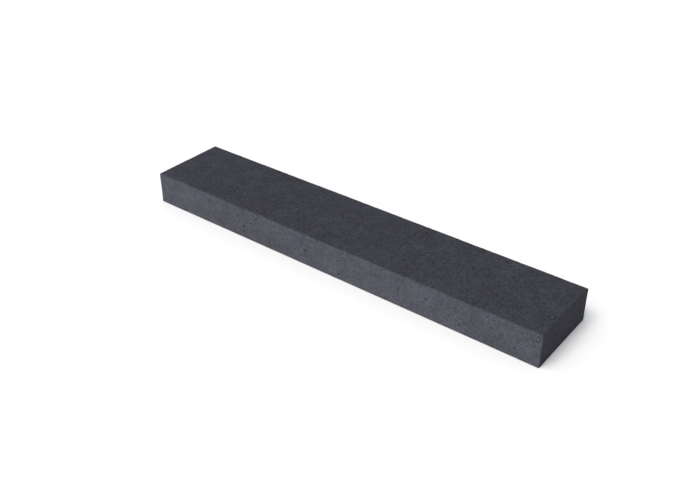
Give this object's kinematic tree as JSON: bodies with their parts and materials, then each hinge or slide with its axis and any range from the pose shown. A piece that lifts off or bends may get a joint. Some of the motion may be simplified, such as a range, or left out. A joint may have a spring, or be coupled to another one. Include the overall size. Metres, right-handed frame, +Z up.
{
  "type": "concrete step block",
  "caption": "Long solid rectangular block of dark through-dyed concrete, laid on a bed as one step of a garden or entrance stair, with a flat tread, an upright riser and slightly eased edges.",
  "frame": {"origin": "middle of the underside, on the bed that the block is laid on", "axes": "+X along the step's length, -Y out of the riser (front) and +Y towards the back, +Z up out of the tread"},
  "size_m": [2, 0.37, 0.15],
  "materials": {
    "concrete": "matt anthracite concrete, fine-grained, with small air pores"
  },
  "bodies": {
    "root": {"step_block": "concrete"}
  },
  "joints": []
}
